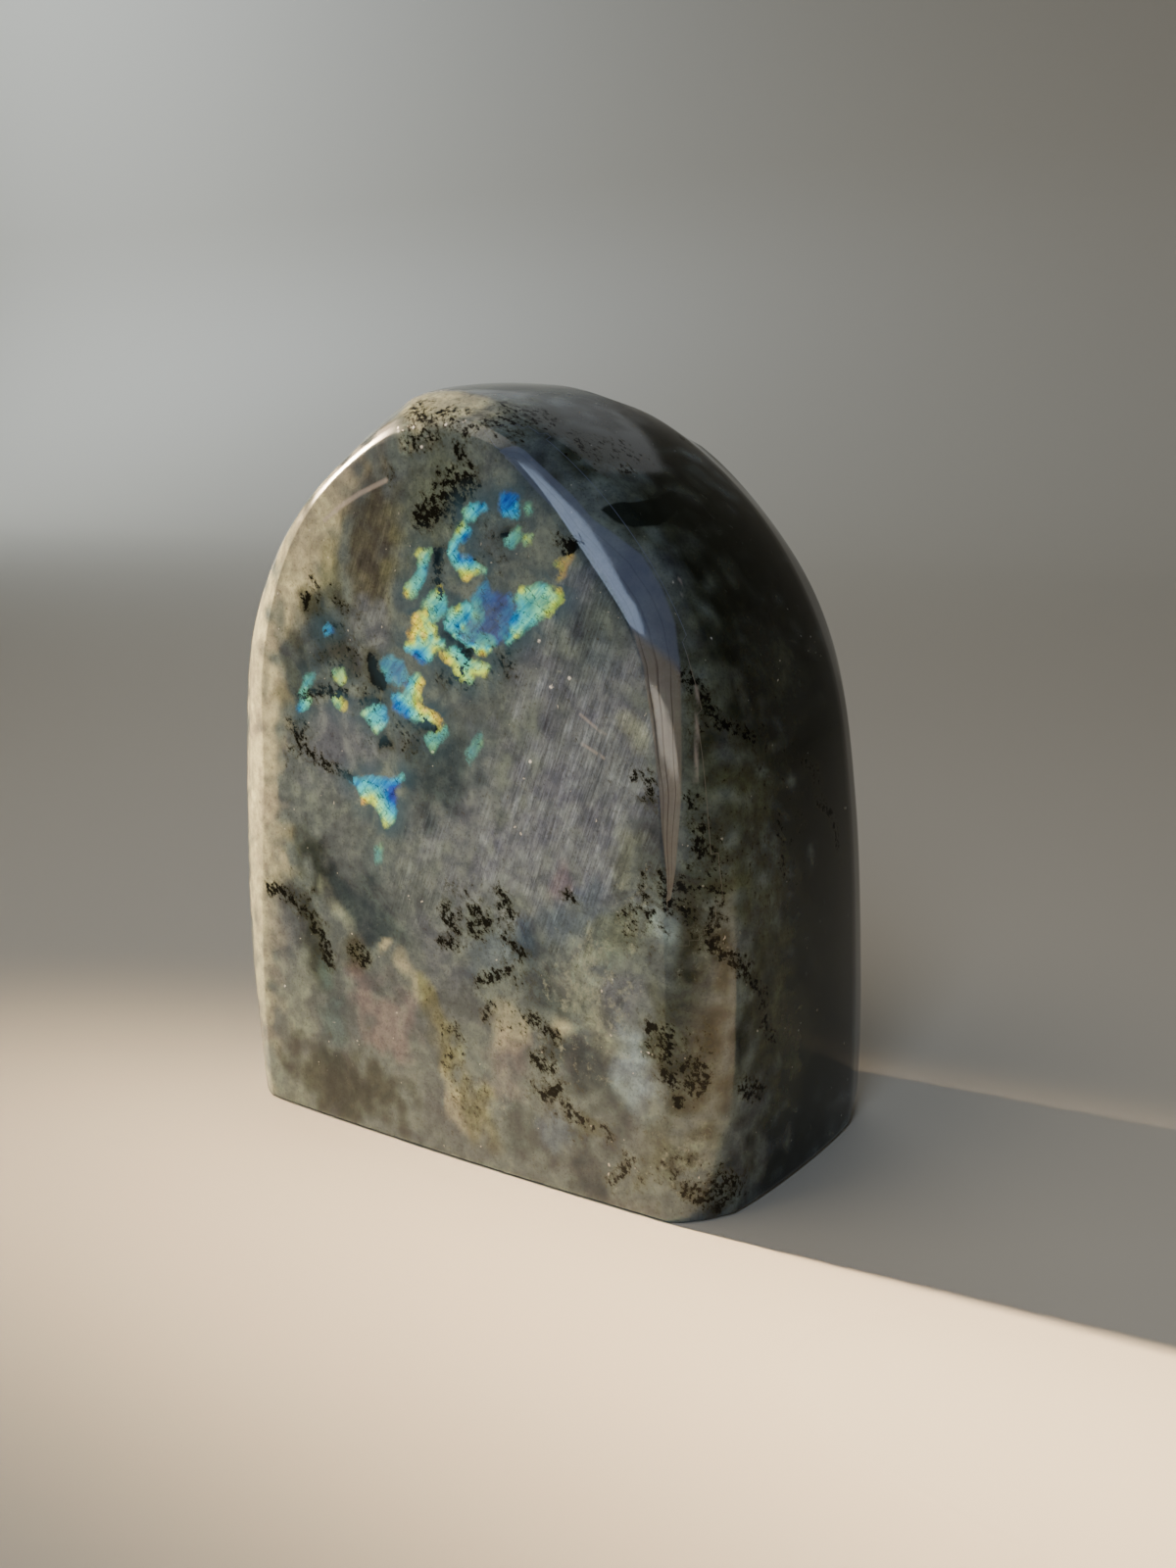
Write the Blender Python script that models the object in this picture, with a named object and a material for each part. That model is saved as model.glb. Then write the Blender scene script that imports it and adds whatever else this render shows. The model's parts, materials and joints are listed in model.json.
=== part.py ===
"""A labradorite freeform with a cut base: one polished stone that stands on its own sawn foot.

The stone is a thick arch. Its broad front face looks along -Y, its back along +Y, and its flat foot
lies on z = 0 with the origin in the middle. Every edge was taken down by hand in narrow strips on a
grinding wheel, so soft ridges run round the arch between the faces and the rim.
"""

import math

import bmesh
import bpy
from mathutils import Vector

MM = 0.001

# Driving dimensions, in millimetres
THICKNESS = 47.0
TOP_TAPER = 0.17  # share of the thickness that is lost between the foot and the top
TAPER_HEIGHT = 100.0
FACE_CROWN = 0.7  # how far the middle of each broad face stands out
FOOT_BEVEL = 0.8
LEVEL_HEIGHT = 12.0  # below this the rim's ground strips turn level, to meet the sawn foot squarely

# The widest outline seen from the front, from the left of the foot over the top to its right (x, z)
OUTLINE = [
    (-39.5, 0.0),
    (-42.2, 20.0),
    (-43.2, 45.0),
    (-40.2, 65.0),
    (-30.6, 82.5),
    (-15.2, 95.2),
    (-3.4, 99.5),
    (12.9, 95.0),
    (28.7, 82.0),
    (38.2, 65.0),
    (41.5, 45.0),
    (42.4, 20.0),
    (42.0, 0.0),
]

# How far the edge of a broad face lies inside that outline: the share of the way along it, then the
# inset there. A hand-ground edge is never even.
FACE_INSETS = [
    (0.0, 7.2),
    (0.1, 9.4),
    (0.2, 11.2),
    (0.29, 8.6),
    (0.4, 5.2),
    (0.49, 5.7),
    (0.565, 4.3),
    (0.64, 6.1),
    (0.7, 5.7),
    (0.79, 7.3),
    (1.0, 6.9),
]

# The ground strips across the rim, from a broad face to the middle of the thickness. The first value
# is the share of the face's inset, the second a plain inset, the third the depth behind the face.
# The front has distinct flat strips, and the back is rounder.
FRONT_STRIPS = [
    (1.0, 0.0, 0.0),
    (0.84, 0.0, 0.5),
    (0.66, 0.0, 1.3),
    (0.27, 1.0, 3.2),
    (0.0, 0.95, 6.4),
    (0.0, 0.4, 10.5),
    (0.0, 0.1, 16.0),
    (0.0, 0.0, 23.5),
]
BACK_STRIPS = [
    (1.0, 0.0, 0.0),
    (0.66, 0.0, 1.3),
    (0.30, 0.95, 3.0),
    (0.0, 2.0, 5.3),
    (0.0, 0.85, 9.5),
    (0.0, 0.25, 15.0),
    (0.0, 0.0, 23.5),
]

# Flat passes of the wheel: a point that the flat goes through and the way that it faces
FLATS = {
    "upper right edge": ((26.3, -20.3, 75.8), (0.48, -0.76, 0.485)),
    "top left rim": ((-22.0, -14.4, 89.0), (-0.52, -0.40, 0.75)),
    "left front edge": ((-38.0, -19.0, 47.0), (-0.66, -0.75, 0.06)),
    "right back edge": ((37.4, 19.8, 60.0), (0.66, 0.72, 0.20)),
    "top back edge": ((6.0, 16.4, 93.2), (0.08, 0.60, 0.80)),
    "back foot corner": ((40.0, 18.4, 2.0), (0.60, 0.56, -0.57)),
    "left foot corner": ((-37.0, -21.2, 1.2), (-0.60, -0.36, -0.71)),
}
FLAT_SOFTNESS = 0.8  # how gently a flat runs out into the round beside it

# Mesh steps: up each side of a broad face, and across it
SIDE_STEPS = 32
TOP_STEPS = 36
CURVE_STEPS = 40

STONE_COLOUR = (0.19, 0.195, 0.18, 1.0)
STONE_ROUGHNESS = 0.16


def clear_scene():
    for old in list(bpy.data.objects):
        bpy.data.objects.remove(old)


def smooth_curve(points, steps):
    """A Catmull-Rom curve through the points, with a number of steps in each span."""
    knots = [Vector(p) for p in points]
    knots = [2 * knots[0] - knots[1]] + knots + [2 * knots[-1] - knots[-2]]
    curve = []
    for a, b, c, d in zip(knots, knots[1:], knots[2:], knots[3:]):
        for step in range(steps):
            t = step / steps
            curve.append(
                0.5 * (2 * b + (c - a) * t + (2 * a - 5 * b + 4 * c - d) * t**2 + (3 * b - a - 3 * c + d) * t**3)
            )
    return curve + [knots[-2]]


def even_points(curve, count):
    """The curve again, as count equal steps along its length."""
    travelled = [0.0]
    for a, b in zip(curve, curve[1:]):
        travelled.append(travelled[-1] + (b - a).length)
    points, span = [], 0
    for step in range(count + 1):
        target = travelled[-1] * step / count
        while span < len(curve) - 2 and travelled[span + 1] < target:
            span += 1
        share = (target - travelled[span]) / (travelled[span + 1] - travelled[span])
        points.append(curve[span].lerp(curve[span + 1], min(share, 1.0)))
    return points


def inward_normals(stations):
    """The way inward at each station, level at the foot so that every ring ends on its plane."""
    normals = []
    for i, station in enumerate(stations):
        along = stations[min(i + 1, len(stations) - 1)] - stations[max(i - 1, 0)]
        rise = min(station.y / LEVEL_HEIGHT, 1.0)
        normals.append(Vector((along.y, -along.x * rise)).normalized())
    return normals


def face_insets(count):
    """The inset of a broad face's edge at each station along the arch."""
    curve = smooth_curve(FACE_INSETS, CURVE_STEPS)
    insets, span = [], 0
    for i in range(count):
        along = i / (count - 1)
        while span < len(curve) - 2 and curve[span + 1].x < along:
            span += 1
        a, b = curve[span], curve[span + 1]
        insets.append(a.y + (b.y - a.y) * (along - a.x) / (b.x - a.x))
    return insets


def rim_ring(stations, normals, share, inset, depth, front):
    """One ring of the rim: the arch moved inward by its inset, at its depth behind a broad face."""
    ring = []
    for point, normal, face_inset in zip(stations, normals, face_insets(len(stations))):
        moved = point + normal * (face_inset * share + inset)
        half = THICKNESS / 2 - depth
        y = half * (1 - TOP_TAPER * moved.y / TAPER_HEIGHT)
        ring.append(Vector((moved.x, -y if front else y, moved.y)))
    return ring


def rim_rings(stations, normals):
    front = [rim_ring(stations, normals, *strip, True) for strip in FRONT_STRIPS]
    back = [rim_ring(stations, normals, *strip, False) for strip in BACK_STRIPS[:-1]]
    return front + back[::-1]


def straight(a, b, steps):
    return [a.lerp(b, i / steps) for i in range(steps + 1)]


def patch(bottom, top, left, right):
    """Rows of points that fill the space between four chains that meet at their ends."""
    across, up = len(bottom) - 1, len(left) - 1
    rows = []
    for j in range(up + 1):
        v = j / up
        row = []
        for i in range(across + 1):
            u = i / across
            corners = (
                bottom[0] * (1 - u) * (1 - v) + bottom[-1] * u * (1 - v) + top[0] * (1 - u) * v + top[-1] * u * v
            )
            row.append(bottom[i] * (1 - v) + top[i] * v + left[j] * (1 - u) + right[j] * u - corners)
        rows.append(row)
    return rows


def broad_face(ring, outward):
    """A broad face inside its ring, standing out a little in the middle, as hand grinding leaves it."""
    left = ring[: SIDE_STEPS + 1]
    top = ring[SIDE_STEPS : SIDE_STEPS + TOP_STEPS + 1]
    right = ring[SIDE_STEPS + TOP_STEPS :][::-1]
    rows = patch(straight(ring[0], ring[-1], TOP_STEPS), top, left, right)
    for j, row in enumerate(rows):
        for i, point in enumerate(row):
            across, up = 2 * i / TOP_STEPS - 1, j / SIDE_STEPS
            point.y += outward * FACE_CROWN * (1 - across**2) * (1 - up**2)
    return rows


def add_rows(bm, rows):
    grid = [[bm.verts.new(point * MM) for point in row] for row in rows]
    for low, high in zip(grid, grid[1:]):
        for i in range(len(low) - 1):
            bm.faces.new((low[i], low[i + 1], high[i + 1], high[i]))


def grind(bm, point, facing):
    """Takes down what stands above a flat, which runs out softly. The foot stays on its plane."""
    origin, normal = Vector(point) * MM, Vector(facing).normalized()
    for vert in bm.verts:
        on_foot = vert.co.z < 0.01 * MM
        above = (vert.co - origin).dot(normal)
        vert.co -= normal * (above + math.hypot(above, FLAT_SOFTNESS * MM)) / 2
        if on_foot or vert.co.z < 0:
            vert.co.z = 0.0


def centre_on_foot(bm):
    xs = [vert.co.x for vert in bm.verts]
    ys = [vert.co.y for vert in bm.verts]
    middle = Vector(((min(xs) + max(xs)) / 2, (min(ys) + max(ys)) / 2, 0.0))
    bmesh.ops.translate(bm, verts=bm.verts, vec=-middle)


def stone_mesh():
    stations = even_points(smooth_curve(OUTLINE, CURVE_STEPS), 2 * SIDE_STEPS + TOP_STEPS)
    rings = rim_rings(stations, inward_normals(stations))
    front = broad_face(rings[0], -1)
    back = broad_face(rings[-1], 1)
    foot = patch(front[0], back[0], [ring[0] for ring in rings], [ring[-1] for ring in rings])
    bm = bmesh.new()
    for rows in (rings, front, back, foot):
        add_rows(bm, rows)
    bmesh.ops.remove_doubles(bm, verts=bm.verts, dist=0.001 * MM)
    for point, facing in FLATS.values():
        grind(bm, point, facing)
    centre_on_foot(bm)
    bmesh.ops.recalc_face_normals(bm, faces=bm.faces)
    mesh = bpy.data.meshes.new("labradorite")
    bm.to_mesh(mesh)
    bm.free()
    return mesh


def bevel_foot(stone):
    """A narrow bevel all round the sawn foot, where the stone was eased after cutting."""
    weights = stone.data.attributes.new("bevel_weight_edge", "FLOAT", "EDGE")
    foot_facing = {}
    for face in stone.data.polygons:
        for key in face.edge_keys:
            foot_facing.setdefault(key, []).append(face.normal.z < -0.9)
    for edge in stone.data.edges:
        sides = foot_facing[edge.key]
        weights.data[edge.index].value = 1.0 if any(sides) and not all(sides) else 0.0
    bevel = stone.modifiers.new("foot bevel", "BEVEL")
    bevel.limit_method = "WEIGHT"
    bevel.width = FOOT_BEVEL * MM
    bevel.segments = 1


def polished_stone():
    material = bpy.data.materials.new("polished labradorite")
    material.use_nodes = True
    shader = material.node_tree.nodes["Principled BSDF"]
    shader.inputs["Base Color"].default_value = STONE_COLOUR
    shader.inputs["Roughness"].default_value = STONE_ROUGHNESS
    shader.inputs["Metallic"].default_value = 0.0
    return material


def labradorite():
    stone = bpy.data.objects.new("labradorite", stone_mesh())
    bpy.context.scene.collection.objects.link(stone)
    bevel_foot(stone)
    stone.data.materials.append(polished_stone())
    stone.data.shade_smooth()
    stone.data.set_sharp_from_angle(angle=math.radians(40))
    return stone


clear_scene()
labradorite()
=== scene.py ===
# %% [markdown]
# A cut-base labradorite, dressed
#
# The object is one polished stone: labradorite, a feldspar that flashes blue, green and gold where
# light meets its fine inner layers. It was sawn flat at the foot and ground by hand into a thick
# arch, so it stands up by itself. The frame below is the plain solid of that stone, at its real size.
# This file gives the stone its skin: the rounded ridges, the pits, the clouds in the body and the
# flashes.

# %% Load the frame
import json
import math

import bpy
import mathutils
import numpy as np
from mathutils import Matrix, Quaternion, Vector

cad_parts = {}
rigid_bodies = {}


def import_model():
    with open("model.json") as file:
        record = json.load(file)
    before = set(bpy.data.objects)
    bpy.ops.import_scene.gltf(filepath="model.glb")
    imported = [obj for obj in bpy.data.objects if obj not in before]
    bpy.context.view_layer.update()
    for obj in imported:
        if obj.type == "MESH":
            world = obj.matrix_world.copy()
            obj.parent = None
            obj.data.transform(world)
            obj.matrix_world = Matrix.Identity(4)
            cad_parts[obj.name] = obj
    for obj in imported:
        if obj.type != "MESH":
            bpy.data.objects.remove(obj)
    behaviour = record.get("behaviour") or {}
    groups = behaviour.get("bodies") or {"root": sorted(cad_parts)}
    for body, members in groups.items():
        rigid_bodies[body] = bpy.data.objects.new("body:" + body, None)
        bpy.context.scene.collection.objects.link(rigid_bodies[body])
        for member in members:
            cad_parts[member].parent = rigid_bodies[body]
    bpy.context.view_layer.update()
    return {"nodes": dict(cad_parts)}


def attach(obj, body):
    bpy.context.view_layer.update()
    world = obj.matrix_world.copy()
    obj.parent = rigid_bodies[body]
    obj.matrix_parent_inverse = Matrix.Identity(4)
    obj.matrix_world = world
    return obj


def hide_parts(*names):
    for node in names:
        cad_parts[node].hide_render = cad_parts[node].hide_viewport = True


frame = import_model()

MM = 0.001
TINY = 1e-9  # keeps a division by nothing from failing

# %% [markdown]
# The camera
#
# Every mark on the stone is placed from the photograph, so the camera comes first. It looks a
# little down at the front face from its right. The focal length is in pixels of the 1200 x 1600
# picture, and Blender wants it in millimetres of a 36 mm sensor along the picture's longer side.

# %% Set up the camera
IMAGE_WIDTH = 1200
IMAGE_HEIGHT = 1600
FOCAL_PIXELS = 1700.0
SENSOR = 36.0
VIEW_AZIMUTH = math.radians(35.77)
VIEW_ELEVATION = math.radians(13.31)
VIEW_ROLL = math.radians(-1.0)
VIEW_DISTANCE = 224.9 * MM
VIEW_TARGET = Vector((8.33, 0.0, 46.49)) * MM

toward_camera = Vector((
    math.sin(VIEW_AZIMUTH) * math.cos(VIEW_ELEVATION),
    -math.cos(VIEW_AZIMUTH) * math.cos(VIEW_ELEVATION),
    math.sin(VIEW_ELEVATION),
))
camera_turn = (-toward_camera).to_track_quat("-Z", "Y") @ Quaternion((0.0, 0.0, 1.0), VIEW_ROLL)
bpy.ops.object.camera_add(location=VIEW_TARGET + toward_camera * VIEW_DISTANCE)
camera = bpy.context.object
camera.name = "photo_view"
camera.rotation_mode = "QUATERNION"
camera.rotation_quaternion = camera_turn
camera.data.sensor_width = SENSOR
camera.data.lens = FOCAL_PIXELS / IMAGE_HEIGHT * SENSOR
camera.data.clip_start = MM
bpy.context.scene.camera = camera
print("Lens in millimetres:", round(camera.data.lens, 2))

# %% [markdown]
# The stone's skin
#
# The frame's solid is made of small triangles. A real ground stone has soft ridges and flowing
# surfaces between them, which a subdivision surface gives: the triangles are merged and paired back
# into quads, the ridges get a crease so that they stay crisp, and the surface is divided twice.

# %% Copy the solid and divide it
RIDGE_ANGLE = math.radians(7.5)
RIDGE_CREASE = 0.6
FOOT_ANGLE = math.radians(35)
FOOT_CREASE = 0.85
QUAD_ANGLE = math.radians(40)
MERGE_DISTANCE = 0.002 * MM


def choose(*chosen):
    """Selects these objects and nothing else, and makes the first one active."""
    bpy.ops.object.select_all(action="DESELECT")
    for thing in chosen:
        thing.select_set(True)
    bpy.context.view_layer.objects.active = chosen[0]


def crease_ridges(angle, amount):
    bpy.ops.mesh.select_all(action="DESELECT")
    bpy.ops.mesh.edges_select_sharp(sharpness=angle)
    bpy.ops.transform.edge_crease(value=amount)


choose(frame["nodes"]["labradorite"])
bpy.ops.object.duplicate()
stone = bpy.context.object
stone.name = "polished_stone"
stone.data.materials.clear()
bpy.ops.object.mode_set(mode="EDIT")
bpy.ops.mesh.select_mode(type="EDGE")
bpy.ops.mesh.select_all(action="SELECT")
bpy.ops.mesh.remove_doubles(threshold=MERGE_DISTANCE)
bpy.ops.mesh.tris_convert_to_quads(face_threshold=QUAD_ANGLE, shape_threshold=QUAD_ANGLE)
crease_ridges(RIDGE_ANGLE, RIDGE_CREASE)
crease_ridges(FOOT_ANGLE, FOOT_CREASE)
bpy.ops.object.mode_set(mode="OBJECT")
quads = sum(len(face.vertices) == 4 for face in stone.data.polygons)
print("Quads in the cage:", quads, "of", len(stone.data.polygons), "faces")

divide = stone.modifiers.new("flowing surface", "SUBSURF")
divide.levels = 2
divide.render_levels = 2
bpy.ops.object.modifier_apply(modifier=divide.name)
bpy.ops.object.shade_smooth()
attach(stone, "root")
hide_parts("labradorite")
print("Skin faces:", len(stone.data.polygons))

# %% [markdown]
# Finding a spot on the stone
#
# A mark is given by the pixel where the photograph shows it. A line from the camera through that
# pixel meets the stone at the mark's place, with the way the surface faces there. So each mark lies
# on the stone itself and is right from every side. The photograph doesn't show the back, the left
# side and the foot, so marks there are guesses, given as a place in millimetres.

# %% A sight line through a pixel


def on_stone(spot):
    """The place in millimetres where a pixel of the photograph shows the stone, and the normal there.
    A spot with three numbers is a place in millimetres, moved to the nearest point of the stone."""
    if len(spot) == 3:
        _, place, normal, _ = stone.closest_point_on_mesh(Vector(spot) * MM)
        return np.array(place) / MM, np.array(normal)
    across = (spot[0] - IMAGE_WIDTH / 2) / FOCAL_PIXELS
    down = (spot[1] - IMAGE_HEIGHT / 2) / FOCAL_PIXELS
    sight = camera_turn @ Vector((across, -down, -1.0))
    hit, place, normal, _ = stone.ray_cast(camera.location, sight)
    if not hit:
        raise ValueError(f"pixel {spot} misses the stone")
    return np.array(place) / MM, np.array(normal)


print("The middle of the triangle flash:", on_stone((385, 812))[0].round(1))

# %% [markdown]
# A finer mesh where the flashes are
#
# The flashes have torn edges and small cracks. The skin's faces are about 0.7 mm wide, which is too
# coarse for them, so the faces round the flashes are cut in four once more.

# %% Divide the flash field again
FLASH_FIELD_LOW = Vector((-41.0, -30.0, 44.0)) * MM
FLASH_FIELD_HIGH = Vector((25.0, -18.0, 92.0)) * MM
FRONT_FACING = -0.98  # a normal's y on the broad front face is below this

for face in stone.data.polygons:
    inside = all(low < part < high for low, part, high in zip(FLASH_FIELD_LOW, face.center, FLASH_FIELD_HIGH))
    face.select = inside and face.normal.y < FRONT_FACING
bpy.ops.object.mode_set(mode="EDIT")
bpy.ops.mesh.select_mode(type="FACE")
bpy.ops.mesh.subdivide(number_cuts=1)
bpy.ops.object.mode_set(mode="OBJECT")
stone.data.calc_loop_triangles()
print("Triangles in the skin:", len(stone.data.loop_triangles))

# %% [markdown]
# Painting by distance
#
# Each kind of mark is kept on the mesh as one number for each point: how far inside a mark the
# point lies, in millimetres. A distance is smooth, so it holds its shape even between the mesh's
# points, and the material can break it up with noise into a torn, natural edge. A mark is either a
# patch with an outline or a line with a width.

# %% The skin's points, and noise on them
skin = np.array([point.co for point in stone.data.vertices]) / MM
skin_facing = np.array([point.normal for point in stone.data.vertices])
OUTSIDE = -6.0
REACH = 3.0  # a patch marks only the skin this close to its own plane


def waves(places):
    """Smooth noise at each of these places."""
    return np.array([mathutils.noise.noise(Vector(place)) for place in places])


# The skin's points moved a little by smooth noise, so that a soft spot measured there has a torn rim
WANDER = ((9.0, 2.4), (3.0, 1.2))  # the size of the waves and how far they move a point, in millimetres
WAVE_ORIGINS = ((0.0, 0.0, 0.0), (31.7, 5.3, 0.0), (0.0, 47.1, 12.9))  # one for each direction
wandering = skin.copy()
for size, amount in WANDER:
    for direction, origin in enumerate(WAVE_ORIGINS):
        wandering[:, direction] += amount * waves(skin / size + origin)

PATCH_SIZE = 2.4  # the size of the small noise in a soft spot, in millimetres
SPOT_EDGE = 1.4  # how steeply a soft spot fades towards its rim
SPOT_TEAR = 0.5  # how far the small noise eats into it
patchy = waves(skin / PATCH_SIZE)
print("Points in the skin:", len(skin))

# %% Distances to lines and patches


def distance_to_segment(points, start, end):
    along = end - start
    share = np.clip((points - start) @ along / max(along @ along, TINY), 0.0, 1.0)
    return np.linalg.norm(points - start - share[:, None] * along, axis=1)


def depth_in_line(places, width):
    """How deep each point of the skin lies inside a line of this width through the places."""
    near = np.full(len(skin), -OUTSIDE)
    for start, end in zip(places, places[1:]):
        near = np.minimum(near, distance_to_segment(skin, start, end))
    return width / 2 - near


def depth_in_patch(spots):
    """How deep each point of the skin lies inside the outline that these spots draw on the stone."""
    hits = [on_stone(spot) for spot in spots]
    corners = np.array([place for place, _ in hits])
    facing = sum(normal for _, normal in hits)
    facing /= np.linalg.norm(facing)
    middle = corners.mean(axis=0)
    across = np.cross((0.0, 0.0, 1.0), facing)
    across /= np.linalg.norm(across)
    plane = np.array([across, np.cross(facing, across)])
    close = np.abs((skin - middle) @ facing) < REACH
    points = (skin[close] - middle) @ plane.T
    outline = (corners - middle) @ plane.T
    near = np.full(len(points), -OUTSIDE)
    inside = np.zeros(len(points), bool)
    for start, end in zip(outline, np.roll(outline, -1, axis=0)):
        near = np.minimum(near, distance_to_segment(points, start, end))
        crosses = (start[1] > points[:, 1]) != (end[1] > points[:, 1])
        level = start[0] + (points[:, 1] - start[1]) * (end[0] - start[0]) / (end[1] - start[1] + TINY)
        inside ^= crosses & (points[:, 0] < level)
    depth = np.full(len(skin), OUTSIDE)
    depth[close] = np.where(inside, near, -near)
    return depth


def keep_on_mesh(name, values):
    stone.data.attributes.new(name, "FLOAT", "POINT").data.foreach_set("value", values.astype(np.float32))
    print(f"{name}: {values.min():.2f} to {values.max():.2f}")


print("Points in a small patch:", int((depth_in_patch([(511, 505), (529, 521), (511, 519)]) > 0).sum()))

# %% [markdown]
# Soft spots
#
# A cloud of colour or a field of fine texture has no outline. It is an oval round a spot, full in the
# middle and gone at its rim, and the moved points above tear that rim.

# %% Ovals that fade out
# A hair off vertical, so that a spot on the level foot still has a direction of its own
UPWARD = (0.0, 0.001, 1.0)


def soft_spot(spot, length, width, lean):
    """From 1 at a spot to 0 at the rim of an oval, which leans this many degrees to the right."""
    place, facing = on_stone(spot)
    level = np.cross(UPWARD, facing)
    level /= np.linalg.norm(level)
    rise = np.cross(facing, level)
    turn = math.radians(lean)
    long_way = rise * math.cos(turn) + level * math.sin(turn)
    short_way = level * math.cos(turn) - rise * math.sin(turn)
    offset = wandering - place
    shares = offset @ long_way / length, offset @ short_way / width, offset @ facing / max(width, REACH)
    far = np.sqrt(sum(share ** 2 for share in shares))
    inside = np.clip(SPOT_EDGE * (1.0 - far + SPOT_TEAR * patchy * (far < 1.0)), 0.0, 1.0)
    return inside * inside * (3.0 - 2.0 * inside)


print("The strength in a spot's middle:", soft_spot((385, 812), 10, 10, 0).max().round(2))

# %% [markdown]
# The flashes
#
# Thin layers inside the feldspar throw back one colour of light, blue where they are thinnest and
# then green, gold and orange. The colour drifts across a patch. Each patch below is an outline with
# the hue at every corner, and a strength. The four patches on the back are guesses.

# %% The upper flashes
VIOLET, BLUE, AZURE, CYAN, GREEN, LIME, GOLD, ORANGE = 0.0, 0.14, 0.28, 0.43, 0.57, 0.71, 0.86, 1.0

UPPER_FLASHES = {
    "crown": (0.95, [
        (511, 505, BLUE), (521, 503, BLUE), (527, 507, BLUE), (529, 521, AZURE), (527, 526, AZURE),
        (515, 526, AZURE), (511, 519, BLUE),
    ]),
    "left of the crown": (1.0, [
        (473, 522, GREEN), (480, 515, CYAN), (494, 515, AZURE), (497, 519, AZURE), (488, 522, AZURE),
        (483, 529, CYAN), (477, 530, CYAN),
    ]),
    "crescent": (1.0, [
        (472, 535, LIME), (480, 542, AZURE), (475, 549, BLUE), (467, 554, AZURE), (465, 561, AZURE),
        (470, 569, BLUE), (480, 570, BLUE), (486, 577, CYAN), (494, 582, GREEN), (487, 583, LIME),
        (479, 589, GOLD), (475, 591, GOLD), (471, 586, LIME), (463, 574, CYAN), (458, 565, CYAN),
        (459, 556, CYAN), (463, 549, GREEN), (467, 541, LIME),
    ]),
    "teal veil": (0.42, [
        (515, 551, CYAN), (522, 544, CYAN), (529, 539, GREEN), (531, 546, CYAN), (523, 558, CYAN),
        (516, 556, CYAN),
    ]),
    "green speck": (0.6, [(535, 548, LIME), (542, 547, GREEN), (541, 553, LIME), (536, 553, GREEN)]),
    "green speck by the ridge": (0.5, [
        (536, 517, GREEN), (541, 514, GREEN), (542, 521, CYAN), (538, 524, GREEN),
    ]),
    "left column": (0.72, [
        (425, 565, LIME), (429, 561, LIME), (439, 563, GREEN), (436, 571, CYAN), (435, 582, AZURE),
        (428, 601, CYAN), (420, 609, GREEN), (413, 606, GOLD), (415, 597, GREEN), (423, 592, CYAN),
        (427, 582, CYAN), (429, 570, GREEN),
    ]),
    "gold seam": (0.4, [
        (566, 576, LIME), (578, 570, GOLD), (583, 562, GOLD), (584, 569, ORANGE), (578, 576, ORANGE),
        (576, 587, ORANGE), (570, 591, GOLD), (573, 581, GOLD),
    ]),
    "right field": (1.0, [
        (531, 601, LIME), (542, 600, GREEN), (554, 597, CYAN), (562, 601, GREEN), (565, 607, GREEN),
        (571, 602, GOLD), (574, 611, LIME), (567, 619, LIME), (560, 628, LIME), (551, 629, GREEN),
        (545, 636, CYAN), (535, 640, CYAN), (533, 644, GREEN), (526, 649, LIME), (518, 656, GREEN),
        (517, 653, CYAN), (522, 644, GREEN), (520, 636, AZURE), (517, 633, BLUE), (523, 628, AZURE),
        (531, 621, CYAN), (527, 611, GREEN),
    ]),
    "deep middle": (0.45, [
        (496, 593, AZURE), (501, 604, BLUE), (512, 608, VIOLET), (521, 607, BLUE), (525, 619, BLUE),
        (521, 629, BLUE), (518, 636, BLUE), (518, 645, BLUE), (512, 656, VIOLET), (499, 660, BLUE),
        (483, 656, BLUE), (472, 649, BLUE), (468, 641, BLUE), (478, 632, AZURE), (481, 611, AZURE),
        (491, 598, AZURE),
    ]),
    "bright left": (1.0, [
        (454, 635, CYAN), (459, 625, GREEN), (467, 620, LIME), (476, 614, CYAN), (484, 620, CYAN),
        (485, 628, GREEN), (479, 635, AZURE), (472, 641, LIME), (465, 644, CYAN), (457, 641, AZURE),
    ]),
    "lower rim": (1.0, [
        (457, 641, CYAN), (466, 646, AZURE), (475, 654, AZURE), (486, 657, CYAN), (499, 658, GREEN),
        (500, 663, LIME), (492, 668, ORANGE), (483, 663, LIME), (472, 655, CYAN), (463, 648, GREEN),
    ]),
}
print("Upper flashes:", len(UPPER_FLASHES))

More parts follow.
